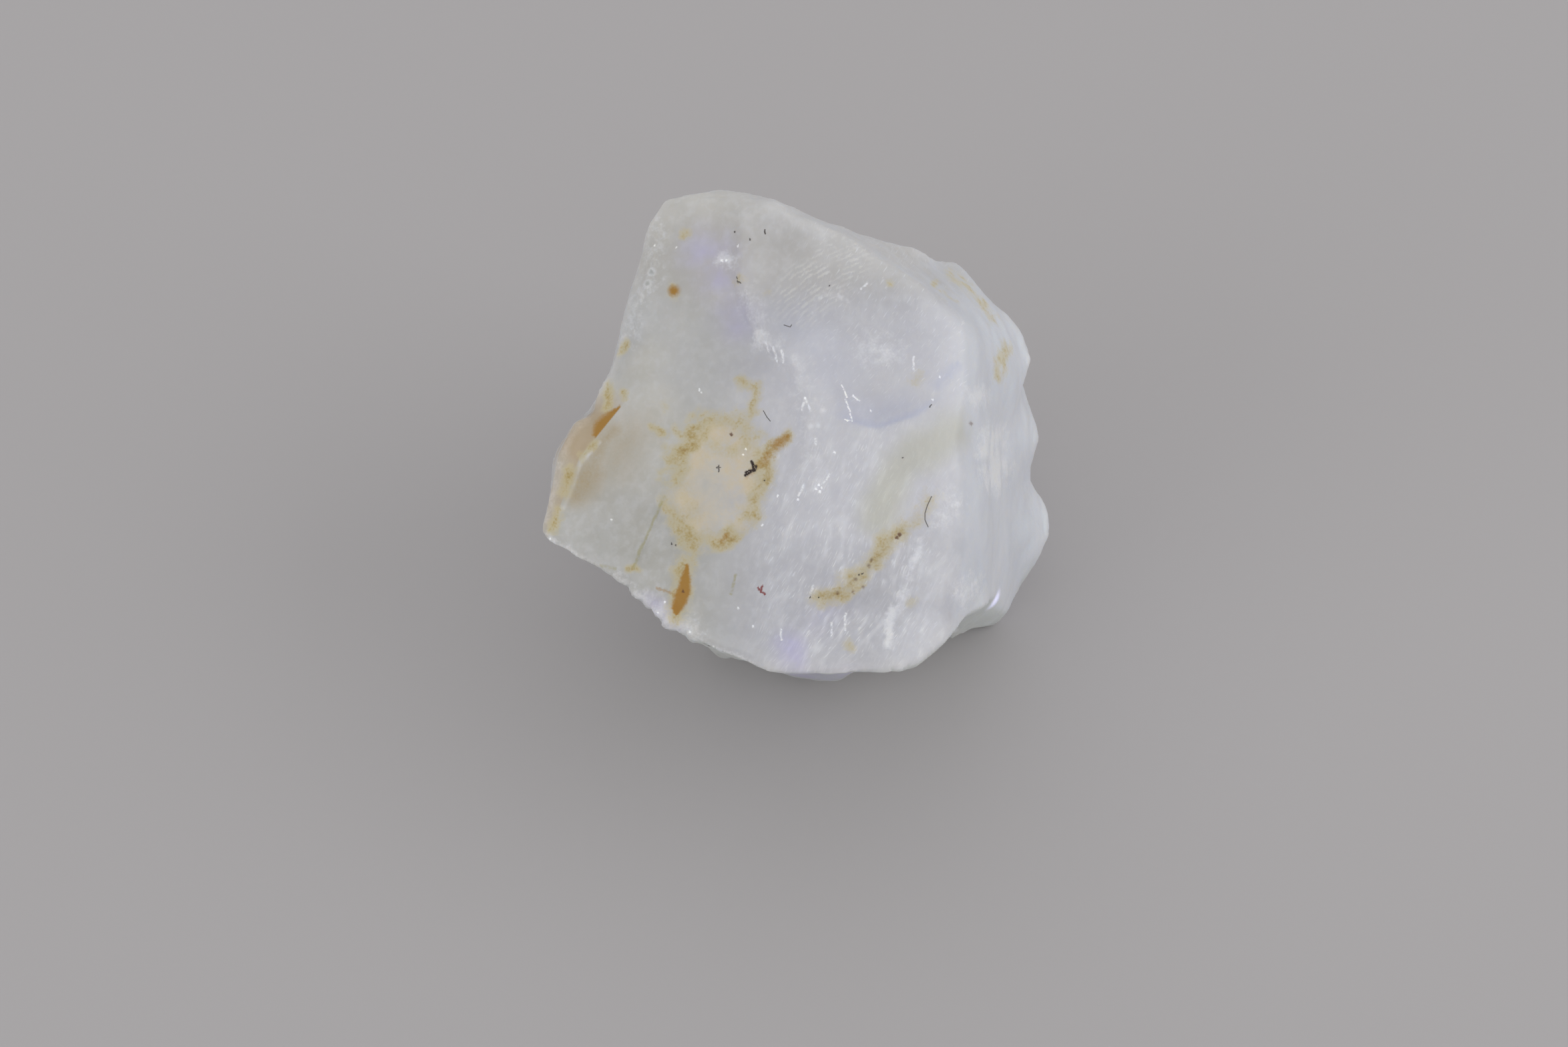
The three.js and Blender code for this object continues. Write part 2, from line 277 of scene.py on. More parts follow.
# %% Push the points
BROKEN_DEPTH = 0.04
GRAIN_DEPTH = 0.012
LEDGE_DEPTH = 0.018
LEDGE_PITCH = 0.55
SHELTERED_TURN = (-0.1, 0.25)
WORN_SHARE = 0.75
CLEAVAGE_DEPTH = 0.012
CLEAVAGE_TURN = (0.72, 0.93)
CLEAVAGE_HEIGHT = (3.0, 3.8)
FOOT_HEIGHT = (0.0, 0.4)
RIDGE_DEPTH = 0.012
CRUMB_PITCH = 0.2
CRUMB_DEPTH = 0.1
CRUMB_SWELL = 0.04
CORNER_CRUMBS = 0.3
BUBBLE_DEPTH = 0.02
CRACK_DEPTH = 0.015
RIM_LEFT = [(-2.0, -0.25), (-1.74, -0.38), (-1.28, -0.61), (-0.88, -0.72)]
SMALL_SWELLINGS = {
    "front rim": (FRONT_RIM, 0.45, 0.05),
    "front rim, further left": (RIM_LEFT, 0.35, -0.06),
    "outer side of the bevel": ([(-3.35, 2.8), (-3.5, 2.5)], 0.45, 0.08),
    "top left corner": ([(-2.22, 5.86)], 0.5, 0.05),
}

places = points_of(skin)
outward = normals_of(skin)
on_map = face_map_of(places)
cleavage = eased(outward @ FACE_NORMAL, *CLEAVAGE_TURN) * eased(places[:, 2], *CLEAVAGE_HEIGHT)
above_foot = eased(places[:, 2], *FOOT_HEIGHT)
broken = rough_field(places, pitch=0.9, octaves=3, shift=4.0)
grain = rough_field(places, pitch=0.22, octaves=2, shift=9.0)
layers = ledges(places, LEDGE_PITCH, 0.3 * broken)
crumbs = 1 - 1.5 * np.array([noise.voronoi(Vector(place))[0][0] for place in places / CRUMB_PITCH])
crumbled = nearness(on_map, CRUMBLED_FRONT[2:], reach=0.3)
crumbled += CORNER_CRUMBS * nearness(on_map, CRUMBLED_FRONT[:2], reach=0.2)
crumbled *= in_front
bubbly = nearness(on_map, BUBBLY_BEVEL, reach=0.2)
sheltered = 1 - WORN_SHARE * eased(outward @ VIEWER_WAY, *SHELTERED_TURN)
rough = BROKEN_DEPTH * broken + sheltered * (GRAIN_DEPTH * grain + LEDGE_DEPTH * layers)
push = (1 - cleavage) * rough
push += cleavage * CLEAVAGE_DEPTH * broken
push += cleavage * RIDGE_DEPTH * nearness(on_map, RAGGED_RIDGE, reach=0.4) * grain
push += crumbled * (CRUMB_SWELL + CRUMB_DEPTH * crumbs) + bubbly * BUBBLE_DEPTH * crumbs
for path, reach, height in SMALL_SWELLINGS.values():
    push += height * in_front * nearness(on_map, path, reach)
push -= cleavage * CRACK_DEPTH * nearness(on_map, CRACK, reach=0.07)
push -= cleavage * CRACK_DEPTH * nearness(on_map, CURVED_LEDGE, reach=0.12)
places = places + outward * (push * above_foot)[:, None]
places[:, 2] = np.maximum(places[:, 2], 0)
put_points(skin, places * MM)
skin.polygons.foreach_set("use_smooth", [True] * len(skin.polygons))
print("relief, mm, from", round(push.min(), 3), "to", round(push.max(), 3))

# %% [markdown]
# ## Where the large markings lie
#
# A marking could be drawn in the shader, line by line, but there are dozens, and each would
# be worked out anew for every ray of light. The large soft ones are worked out once instead,
# for every point of the skin, and kept on the mesh as fields: 1 in the middle of a marking,
# falling to 0 at its reach. The shader later turns a field into a stain by adding grain
# to it and cutting it at a level, which gives the broken edges of real stains. Noise bends
# the map first, because nothing on a stone is ruled. Blender's vector noise starts from the
# clock unless it gets a seed, so it gets one, and every run draws the same stone.

# %% Bent maps and fields
NOISE_SEED = 282

noise.seed_set(NOISE_SEED)
outward = normals_of(skin)
on_map = face_map_of(places)


def bent(on_map, pitch, amount):
    """The map moved about by noise, so that what is drawn on it wavers."""
    shift = [noise.noise_vector(Vector(place)) for place in places / pitch]
    return on_map + amount * np.array(shift)[:, :2]


def peak(on_map, path, reach, weight=1.0):
    """A field that is its weight on the path and 0 at its reach."""
    return weight * np.clip(1 - away_from(on_map, path) / reach, 0, 1)


def highest(*fields):
    return np.max(np.stack(fields), axis=0)


def all_marks(on_map, marks):
    """The highest of many marks, each a path, a reach and a weight."""
    return highest(*[peak(on_map, path, reach, weight) for path, reach, weight in marks.values()])


def keep_field(name, values):
    made = skin.attributes.new(name, "FLOAT", "POINT")
    made.data.foreach_set("value", values)
    print("field", name, "covers", f"{np.mean(values > 0.1):.1%}", "of the skin")


UNDER_NORMAL = np.array((0, -0.75, -0.66))
wavy = bent(on_map, pitch=0.35, amount=0.07)
lumpy = bent(wavy, pitch=0.14, amount=0.06)
face_side = in_front * eased(outward @ FACE_NORMAL, low=0.25, high=0.6)
under_side = eased(outward @ UNDER_NORMAL, low=0.3, high=0.7)
seen_side = in_front * eased(outward @ VIEWER_WAY, low=-0.05, high=0.3)
keep_field("face_side", face_side)
keep_field("under_side", under_side)

# %% The great stain: a beige egg with a rusty edge
STAIN_CORE = [(-1.2, 2.33), (-1.15, 2.1), (-1.3, 1.72)]
STAIN_REACH = 0.64
FADE_INWARD = 0.2
FADE_OUTWARD = 0.08
STAIN_HEART = [(-1.42, 1.95), (-1.18, 1.82)]
HEART_PALENESS = 0.45
EDGE_INWARD = 0.34
EDGE_OUTWARD = 0.09

stain_away = away_from(lumpy, STAIN_CORE)
heart = HEART_PALENESS * peak(wavy, STAIN_HEART, reach=0.45)
uneven = np.clip(0.9 + 0.7 * rough_field(places, pitch=0.3, octaves=3, shift=15.0), 0.3, 1.3)
inside = 1 - eased(stain_away, STAIN_REACH - FADE_INWARD, STAIN_REACH + FADE_OUTWARD)
keep_field("beige", face_side * inside * uneven * (1 - heart))
past_edge = stain_away - STAIN_REACH
edge = 1 - np.where(past_edge < 0, -past_edge / EDGE_INWARD, past_edge / EDGE_OUTWARD)
patchiness = rough_field(places, pitch=0.45, octaves=2, shift=7.0)
edge = np.clip(0.6 + 0.6 * patchiness, 0.15, 0.95) * np.clip(edge, 0, 1)

# %% Thin rust
THIN_RUST = {
    "lump, upper left": ([(-1.6, 2.7), (-1.72, 2.55), (-1.82, 2.35)], 0.25, 1.15),
    "orange lump": ([(-1.41, 2.75)], 0.18, 0.85),
    "arch over the stain": ([(-1.63, 2.95), (-1.45, 3.01), (-1.2, 3.02), (-1.05, 2.9)], 0.16, 0.62),
    "hook": ([(-0.82, 2.8), (-0.71, 3.06), (-0.65, 3.3), (-0.69, 3.43), (-0.9, 3.48)], 0.16, 0.72),
    "foot of the hook": ([(-0.83, 2.9), (-0.74, 2.7), (-0.62, 2.4)], 0.35, 0.62),
    "lobe on the left": ([(-2.06, 2.16), (-1.98, 2.22), (-1.87, 2.16), (-1.86, 2.02)], 0.12, 0.62),
    "lobe on the left, below": ([(-2.08, 2.05), (-2.0, 1.96), (-1.9, 1.97)], 0.12, 0.6),
    "beads down the left": ([(-2.0, 1.72), (-1.91, 1.59), (-1.83, 1.43)], 0.18, 0.85),
    "run to the tail": ([(-1.75, 1.3), (-1.66, 1.14), (-1.56, 1.02), (-1.63, 0.85)], 0.2, 0.85),
    "wash inside, lower left": ([(-1.72, 1.8), (-1.62, 1.5)], 0.3, 0.42),
    "wash inside, top": ([(-1.35, 2.55), (-0.95, 2.5)], 0.28, 0.45),
    "olive bean": ([(-1.04, 1.31), (-1.19, 1.15)], 0.19, 1.0),
    "arm": ([(-0.68, 2.25), (-0.5, 2.45), (-0.33, 2.6), (-0.21, 2.68)], 0.2, 0.9),
    "right side": ([(-0.5, 2.3), (-0.5, 2.06), (-0.59, 1.79), (-0.72, 1.45)], 0.18, 0.55),
    "tail": ([(-1.68, 0.84), (-1.76, 0.62), (-1.77, 0.4), (-1.81, 0.12)], 0.26, 0.95),
    "curved ledge": (CURVED_LEDGE, 0.25, 0.86),
    "ledge, left blob": ([(0.55, 0.46), (0.3, 0.36)], 0.23, 0.75),
    "ledge, middle blob": ([(1.03, 0.92), (0.97, 0.84)], 0.2, 1.0),
    "ledge, right end": ([(1.4, 1.3), (1.2, 1.14)], 0.16, 0.85),
    "haze over the ledge": ([(1.55, 1.4), (1.7, 1.5), (1.88, 1.78)], 0.28, 0.45),
    "crumbs under the ledge": ([(0.72, 0.43), (0.88, 0.51)], 0.09, 0.8),
    "bead on the flank": ([(-3.43, 2.2), (-3.48, 1.92)], 0.2, 0.85),
    "bead at the corner": ([(-3.58, 1.62), (-3.65, 1.33)], 0.14, 0.85),
    "bead above the wedge": ([(-2.85, 3.45), (-2.88, 3.12)], 0.15, 0.85),
    "dot above the wedge": ([(-2.6, 3.34)], 0.14, 0.85),
    "line along the crease": ([(-2.98, 2.66), (-3.26, 2.42)], 0.1, 0.85),
    "bead high on the bevel": ([(-2.63, 4.08), (-2.66, 3.95)], 0.12, 0.85),
    "dab left of the stain": ([(-2.19, 2.82), (-2.03, 2.73)], 0.09, 0.9),
    "second dab": ([(-1.84, 2.8), (-1.8, 2.72)], 0.15, 0.7),
    "third dab": ([(-2.03, 3.11)], 0.19, 0.5),
    "fourth dab": ([(-2.02, 2.55), (-2.0, 2.42)], 0.12, 0.5),
    "halo of the orange dot": ([(-1.89, 4.85)], 0.22, 0.75),
    "faint dot, top": ([(-1.72, 5.7)], 0.15, 0.62),
    "halo of the dark speck": ([(-0.93, 4.99)], 0.2, 0.6),
    "smear by the speck": ([(-0.52, 4.77)], 0.12, 0.45),
    "spot, far rim": ([(1.96, 4.95)], 0.12, 0.85),
    "streak, far rim": ([(2.1, 4.83), (2.27, 4.69)], 0.1, 0.6),
    "small spot, far rim": ([(1.34, 4.95)], 0.12, 0.6),
    "yellow patch": ([(3.03, 4.06), (2.92, 3.62)], 0.2, 0.62),
    "smudge over the shell": ([(1.67, 3.54)], 0.22, 0.42),
    "dot below the ledge": ([(1.57, 0.33)], 0.14, 0.6),
    "dots at the foot": ([(0.61, -0.29), (0.73, -0.42)], 0.14, 0.5),
    "blot on the crack": ([(-2.44, 0.79), (-2.53, 0.77)], 0.12, 0.8),
    "edge of the far rim": ([(2.2, 5.15), (2.55, 4.9), (2.85, 4.5)], 0.2, 0.55),
}

blotches = 0.85 + 0.35 * rough_field(places, pitch=0.2, octaves=2, shift=33.0)
thin_rust = np.clip(blotches * highest(edge, all_marks(lumpy, THIN_RUST)), 0, 1)
keep_field("thin_rust", seen_side * thin_rust)

# %% Dark rust, beige bevel and painted shade beside the crease
DARK_RUST = {
    "round the dendrite": ([(-0.78, 2.16), (-0.66, 2.28)], 0.13, 0.45),
    "end of the arm": ([(-0.36, 2.57), (-0.24, 2.66)], 0.17, 0.7),
    "inner arm": ([(-0.6, 2.3), (-0.45, 2.48)], 0.14, 0.5),
    "heart of the olive bean": ([(-1.08, 1.27), (-1.17, 1.18)], 0.1, 0.5),
}
WEDGE = {"tip": (-2.63, 3.17), "foot": (-3.0, 2.66), "width": 0.2}
TAIL = {"tip": (-1.64, 0.88), "foot": (-1.83, 0.08), "width": 0.13}
NO_WIDTH = 0.001
BEVEL_STAINS = {
    "by the wedge": ([(-3.04, 2.91), (-3.3, 2.55)], 0.75, 1.0),
    "down to the corner": ([(-3.3, 2.55), (-3.51, 2.06), (-3.64, 1.45)], 0.6, 0.62),
}
# Painted shade: a brownish shade beside the left crease, on the face's side.
PAINTED_CREASE_SHADES = {
    "foot of the crease": ([(-3.12, 2.2), (-3.28, 1.92)], 0.4, 1.0),
    "along the crease": ([(-2.78, 2.8), (-3.08, 2.3)], 0.32, 0.75),
    "above": ([(-2.5, 2.75), (-2.75, 2.35)], 0.65, 0.5),
}


def leaf(on_map, tip, foot, width):
    """A field that is 1 on the midrib of a leaf and 0 at its outline, broad towards the foot."""
    midrib = np.array(foot) - np.array(tip)
    length = np.linalg.norm(midrib)
    from_tip = on_map - np.array(tip)
    share = np.clip(from_tip @ midrib / length**2, 0, 1)
    beside = np.abs(from_tip @ np.array((-midrib[1], midrib[0]))) / length
    outline = 3.0 * width * share * np.sqrt(1 - share) * np.where(share < 1, 1, 0)
    inside = outline > NO_WIDTH
    return inside * np.clip(1 - (beside / np.maximum(outline, NO_WIDTH)) ** 2, 0, 1)


half_wavy = (on_map + wavy) / 2
leaves = highest(leaf(half_wavy, **WEDGE), leaf(half_wavy, **TAIL))
keep_field("dark_rust", seen_side * highest(leaves, all_marks(wavy, DARK_RUST)))
keep_field("bevel_stain", seen_side * all_marks(wavy, BEVEL_STAINS))
keep_field("painted_crease_shade", seen_side * all_marks(wavy, PAINTED_CREASE_SHADES))

# %% White, lilac, blue and olive
OUTER_BEVEL = [(-3.15, 2.98), (-3.45, 2.58), (-3.58, 2.13), (-3.74, 1.5)]
WHITE_AND_PAINTED_HIGHLIGHT_MARKS = {
    "front edge, left": (CRUMBLED_FRONT[:3], 0.11, 0.8),
    "front edge, crumbs": (CRUMBLED_FRONT[2:], 0.32, 0.5),
    "bubbly bevel": (BUBBLY_BEVEL, 0.24, 0.28),
    "outer edge of the bevel": (OUTER_BEVEL, 0.13, 0.5),
    # Painted highlight: the bright edge of the foot.
    "painted highlight, edge of the foot": ([(-1.64, -0.13), (-1.27, -0.35), (-0.69, -0.62)], 0.07, 0.5),
    # White along the ragged ridge: partly white flecks, partly painted light over the shade of the
    # crease.
    "ragged ridge": (RAGGED_RIDGE, 0.3, 0.22),
    "patch on the ridge": ([(-0.62, 4.2), (-0.59, 4.1)], 0.16, 0.8),
    "patch at the top": ([(-1.17, 5.3), (-1.08, 5.29)], 0.22, 0.7),
    "cloud over the shell": ([(1.0, 3.93), (1.25, 3.95)], 0.4, 0.38),
    # The right clouds: partly white clouding, partly painted soft highlights on the flank.
    "right cloud, top": ([(2.61, 3.3)], 0.28, 0.9),
    "right cloud, middle": ([(2.86, 2.7), (2.8, 2.5)], 0.35, 1.0),
    "right cloud, low": ([(2.92, 2.3), (2.85, 2.1)], 0.35, 1.0),
    "right cloud, foot": ([(2.5, 0.55), (2.35, 0.35)], 0.3, 0.55),
    "right cloud, inner": ([(2.0, 1.55), (2.2, 1.75)], 0.3, 0.4),
    "pale tongue": ([(1.7, 1.15), (1.5, 0.62), (1.36, 0.15)], 0.14, 0.5),
    "tip of the pale tongue": ([(1.31, 0.17), (1.21, -0.34)], 0.12, 0.95),
}
# Painted sheen: where lilac and blue light given back is laid into the colour.
LILAC_MARKS = {
    "top": ([(-1.5, 5.42), (-1.2, 5.4)], 0.6, 0.72),
    "below the top": ([(-1.24, 5.07)], 0.62, 0.78),
    "by the ridge": ([(-0.97, 4.47)], 0.55, 0.85),
    "foot": ([(-0.2, -0.3), (-0.1, -0.8), (0.1, -0.9)], 0.36, 1.0),
    "foot, right": ([(0.3, -0.85), (0.9, -0.85)], 0.34, 0.9),
    "above the foot": ([(0.2, 0.0), (0.5, 0.3)], 0.5, 0.35),
    "crumbs": ([(-2.2, 0.25), (-1.9, 0.0)], 0.3, 0.9),
}
SHELL_MIDDLE = [(1.075, 4.115)]
SHELL_RADIUS = 1.25
SHELL_INWARD = 0.16
SHELL_OUTWARD = 0.06
BLUE_MARKS = {
    "fill of the shell": ([(0.7, 3.1), (1.1, 3.05), (1.45, 3.12)], 0.34, 0.55),
    "nose": ([(2.0, 3.47), (2.2, 3.66)], 0.17, 0.7),
    "end of the nose": ([(2.29, 3.68), (2.26, 3.75)], 0.08, 1.0),
    "field above the shell": ([(-0.1, 4.3), (0.25, 4.1), (0.55, 3.6)], 0.6, 0.32),
}
OLIVE_HAZE = [(2.27, 2.81), (1.45, 2.3), (1.09, 1.53)]
FAN = [(-0.1, 4.65), (0.3, 5.05), (0.65, 5.35)]

past_shell = away_from(wavy, SHELL_MIDDLE) - SHELL_RADIUS
shell = 1 - np.where(past_shell < 0, -past_shell / SHELL_INWARD, past_shell / SHELL_OUTWARD)
shell = np.clip(shell, 0, 1) * eased(-on_map[:, 1], low=-3.35, high=-3.05)
shell = shell * eased(on_map[:, 0], low=0.3, high=0.8)
# The white field: bruising, with painted highlights at the foot's edge, on the ridge and on the
# right flank.
keep_field("white_and_painted_highlights", seen_side * all_marks(wavy, WHITE_AND_PAINTED_HIGHLIGHT_MARKS))
keep_field("lilac", seen_side * all_marks(wavy, LILAC_MARKS))
keep_field("blue", seen_side * highest(shell, all_marks(wavy, BLUE_MARKS)))
keep_field("olive", face_side * peak(wavy, OLIVE_HAZE, reach=0.48))
keep_field("grooves", face_side * peak(wavy, FAN, reach=0.55))

# %% Marks of the underside, the flanks and the back
WHITE_PLUME = [(-0.57, 2.5), (-0.14, 2.95), (-0.07, 3.45)]
PLUME_FORK = [(-0.14, 2.95), (0.23, 3.03)]
UNDER_CLOUDS = [
    (-1.8, 2.3), (-1.68, 2.65), (-0.87, 1.64), (-3.2, 3.5), (-1.12, 2.65), (-2.88, 3.95),
    (2.7, 0.65),
]
UNDER_RUST = [
    [(-3.46, 4.15), (-3.4, 3.6)],
    [(-2.13, 3.92), (-1.87, 3.86)],
    [(0.5, 3.88), (1.0, 3.83), (1.8, 3.7)],
]
BLUE_FACET = [(1.95, 3.0)]
BACK_FROM = (1.8, 3.2)
# Painted glints: two lilac spots that glow through the emission, standing in for a lamp's glint on
# the flank and under the front rim.
PAINTED_GLINTS = [(2.98, -1.3, 2.25), (-0.89, -1.41, 1.0)]
GLINT_CORE = 0.05
GLINT_REACH = 0.27

under_map = bent(places[:, ::2], pitch=0.4, amount=0.1)
clouds = [peak(under_map, [middle], reach=0.3, weight=0.8) for middle in UNDER_CLOUDS]
plume = peak(under_map, WHITE_PLUME, reach=0.18)
plume = highest(plume, peak(under_map, PLUME_FORK, reach=0.16))
keep_field("under_white", under_side * highest(plume, *clouds))
keep_field("under_blue", under_side * peak(under_map, BLUE_FACET, reach=1.1))
runs = [peak(under_map, path, reach=0.24) for path in UNDER_RUST]
stray = eased(rough_field(places, pitch=1.2, octaves=3, shift=21.0), low=0.3, high=0.8)
stray = (1 - under_side) * stray
back_side = eased(places[:, 1], *BACK_FROM)
hidden = highest(under_side * highest(*runs), 0.8 * stray * back_side)
keep_field("hidden_rust", (1 - face_side) * hidden)
# The painted glint field: 1 within each glint's core, 0 at its reach.
glint_away = [np.linalg.norm(places - np.array(painted_glint), axis=1) for painted_glint in PAINTED_GLINTS]
keep_field("painted_glint", 1 - eased(np.min(np.stack(glint_away), axis=0), GLINT_CORE, GLINT_REACH))

# %% [markdown]
# ## Shader arithmetic
#
# A shader is a graph of small sums. Written with node names alone it is long and hard to
# read, so one small class wraps a node's output and lets Python's operators add the Math
# nodes. Vectors and colours go through their own nodes.


# %% The wrapper
class Wire:
    """The output of a shader node, which takes part in ordinary Python sums."""

    tree = None

    def __init__(self, output):
        self.output = output

    @classmethod
    def node(cls, kind, settings=None, sockets=None):
        """Adds a node: first its settings, then the values or links of its sockets."""
        made = cls.tree.nodes.new(kind)
        for name, value in (settings or {}).items():
            setattr(made, name, value)
        for name, value in (sockets or {}).items():
            if isinstance(value, Wire):
                cls.tree.links.new(value.output, made.inputs[name])
            else:
                made.inputs[name].default_value = value
        return made

    @classmethod
    def maths(cls, operation, *values, clamp=False):
        settings = {"operation": operation, "use_clamp": clamp}
        return cls(cls.node("ShaderNodeMath", settings, dict(enumerate(values))).outputs[0])

    def __add__(self, other):
        return Wire.maths("ADD", self, other)

    def __radd__(self, other):
        return Wire.maths("ADD", other, self)

    def __sub__(self, other):
        return Wire.maths("SUBTRACT", self, other)

    def __rsub__(self, other):
        return Wire.maths("SUBTRACT", other, self)

    def __mul__(self, other):
        return Wire.maths("MULTIPLY", self, other)

    def __rmul__(self, other):
        return Wire.maths("MULTIPLY", other, self)


def vector_maths(operation, first, second=None, scale=None):
    sockets = {0: first}
    if second is not None:
        sockets[1] = second
    if scale is not None:
        sockets["Scale"] = scale
    made = Wire.node("ShaderNodeVectorMath", {"operation": operation}, sockets)
    name = "Value" if operation in ("DOT_PRODUCT", "LENGTH", "DISTANCE") else "Vector"
    return Wire(made.outputs[name])


def step_up(value, low, high):
    """0 at low, 1 at high and smooth between; low may be the larger of the two."""
    settings = {"interpolation_type": "SMOOTHSTEP"}
    sockets = {"Value": value, "From Min": low, "From Max": high}
    if low > high:
        sockets.update({"From Min": high, "From Max": low, "To Min": 1.0, "To Max": 0.0})
    return Wire(Wire.node("ShaderNodeMapRange", settings, sockets).outputs["Result"])


def larger(*values):
    most = values[0]
    for value in values[1:]:
        most = Wire.maths("MAXIMUM", most, value)
    return most


def blend_colours(share, first, second):
    settings = {"data_type": "RGBA", "blend_type": "MIX"}
    made = Wire.node("ShaderNodeMix", settings, {0: share, 6: first, 7: second})
    return Wire(made.outputs[2])


def cloud(at, pitch, detail=2.0, roughness=0.5):
    """Smooth noise from 0 to 1, about as coarse as the pitch in millimetres."""
    sockets = {"Vector": at, "Scale": 1 / pitch, "Detail": detail, "Roughness": roughness}
    return Wire(Wire.node("ShaderNodeTexNoise", None, sockets).outputs[0])


def paint(red, green, blue):
    """A colour as a paint chart gives it, 0 to 255, turned into shares of light."""
    shades = [shade / 255 for shade in (red, green, blue)]
    light = [s / 12.92 if s <= 0.04045 else ((s + 0.055) / 1.055) ** 2.4 for s in shades]
    return (*light, 1.0)


def start_nodes(owner):
    """Clears the nodes of a material or a world and lets the next ones be added to it."""
    owner.use_nodes = True
    Wire.tree = owner.node_tree
    Wire.tree.nodes.clear()


def tell_nodes():
    print("nodes so far:", len(Wire.tree.nodes))


print("shader arithmetic is ready")

# %% [markdown]
# ## Reading the fields, and drawing the fine marks
#
# In the shader each field is one node. What is too thin for the mesh, such as specks, fibres
# and cracks, is drawn there as blots around a point and strokes along a line, on the same map
# of the face.

# %% Coordinates and fields
andesine = bpy.data.materials.new("andesine")
start_nodes(andesine)
coordinates = Wire.node("ShaderNodeTexCoord")
point = vector_maths("SCALE", Wire(coordinates.outputs["Object"]), scale=1 / MM)


def field(name):
    return Wire(Wire.node("ShaderNodeAttribute", {"attribute_name": name}).outputs["Fac"])


def flat_map(east, north):
    """A map with a right and an up of its own, for drawing on."""
    return Wire(Wire.node("ShaderNodeCombineXYZ", None, {"X": east, "Y": north}).outputs[0])


on_face = field("face_side")
on_under = field("under_side")
across = vector_maths("DOT_PRODUCT", point, (1, 0, 0))
up = vector_maths("DOT_PRODUCT", point, tuple(SLOPE_UP))
face_map = flat_map(across, up)
tell_nodes()

# %% Grain, from coarse to fine
SIDEWAYS = 0.06

soft_cloud = cloud(point, pitch=1.6)
patchy = step_up(cloud(point, pitch=0.45, roughness=0.55), low=0.35, high=0.62)
coarse_grain = cloud(point, pitch=0.13, roughness=0.6)
fine_grain = cloud(point, pitch=0.035, detail=1.0, roughness=0.6)
grit = 0.6 * coarse_grain + 0.4 * fine_grain - 0.5
sideways = flat_map(SIDEWAYS * coarse_grain, SIDEWAYS * fine_grain)
sideways = vector_maths("SUBTRACT", sideways, (SIDEWAYS / 2, SIDEWAYS / 2, 0))
ragged = vector_maths("ADD", face_map, sideways)
tell_nodes()


# %% Stains, blots, strokes and sides
def stain(strength, grit_share, low, high):
    """A field roughened by grit and cut at a level, which gives it a broken edge."""
    return step_up(strength + grit_share * grit * step_up(strength, 0.0, 0.1), low, high)


def blot(at, centre, reach, core=0.0):
    """1 within the core of a point, fading to 0 at its reach."""
    away = vector_maths("DISTANCE", at, (*centre, 0))
    return step_up(away, reach, core)


def blots(at, centres, reach, core=0.0):
    return larger(*[blot(at, centre, reach, core) for centre in centres])


def stroke(at, path, reach, core=0.0):
    """1 within the core of a line through the path's points, fading to 0 at its reach."""
    nearest = None
    for start, end in zip(path, path[1:]):
        along = Vector(end) - Vector(start)
        from_start = vector_maths("SUBTRACT", at, (*start, 0))
        per_length = along / along.length_squared
        share = vector_maths("DOT_PRODUCT", from_start, (*per_length, 0))
        share = Wire.maths("ADD", share, 0.0, clamp=True)
        reached = vector_maths("SCALE", (*along, 0), scale=share)
        away = vector_maths("DISTANCE", from_start, reached)
        nearest = away if nearest is None else Wire.maths("MINIMUM", nearest, away)
    return step_up(nearest, reach, core)


def strokes(at, paths, reach, core=0.0):
    return larger(*[stroke(at, path, reach, core) for path in paths])


def left_of(at, start, end):
    """How far a place lies to the left of a line, looking up along it; less than 0 is right."""
    along = (Vector(end) - Vector(start)).normalized()
    from_start = vector_maths("SUBTRACT", at, (*start, 0))
    return vector_maths("DOT_PRODUCT", from_start, (-along.y, along.x, 0))


print("stains, blots, strokes and sides are ready")

# %% [markdown]
# ## The body's own colour, and painted light on the flanks
#
# The stone is a milky grey on the left, a little warm in patches, lighter and cooler towards
# the right, and lightest in the band where the face turns into the flank. The flanks are
# whiter, partly the stone's own milk and partly painted light that stands in for the lamp on
# the right. The underside is greener. The colour is built up like glazes: each marking is
# laid over what is there, so the order of the cells is the order of the layers.

# %% Milk
GREY_MILK = paint(211, 211, 210)
WARM_MILK = paint(212, 208, 195)
LOW_MILK = paint(192, 191, 185)
TOP_MILK = paint(209, 206, 200)
COOL_MILK = paint(208, 208, 214)
BRIGHT_MILK = paint(220, 220, 226)
BAND_MILK = paint(232, 238, 247)
PAINTED_LIT_FLANK_MILK = paint(226, 229, 237)
GREEN_MILK = paint(210, 215, 208)
MOTTLE_WHITE = paint(236, 236, 239)
BRIGHT_FROM = (-1.4, 0.4)
ABOVE_FOOT = (0.2, 2.2)
BRIGHT_FOOT = (0.6, 1.8)
DIM_TOP = (3.8, 5.0)
COOL_FROM = (-1.6, -0.4)
TOP_FROM = (4.3, 5.2)
LOW_BELOW = (1.0, 3.0)
LEFT_FROM = (-2.0, -1.0)
BAND_FROM = (2.1, 2.9)
FLANK_FROM = (0.5, 2.5)

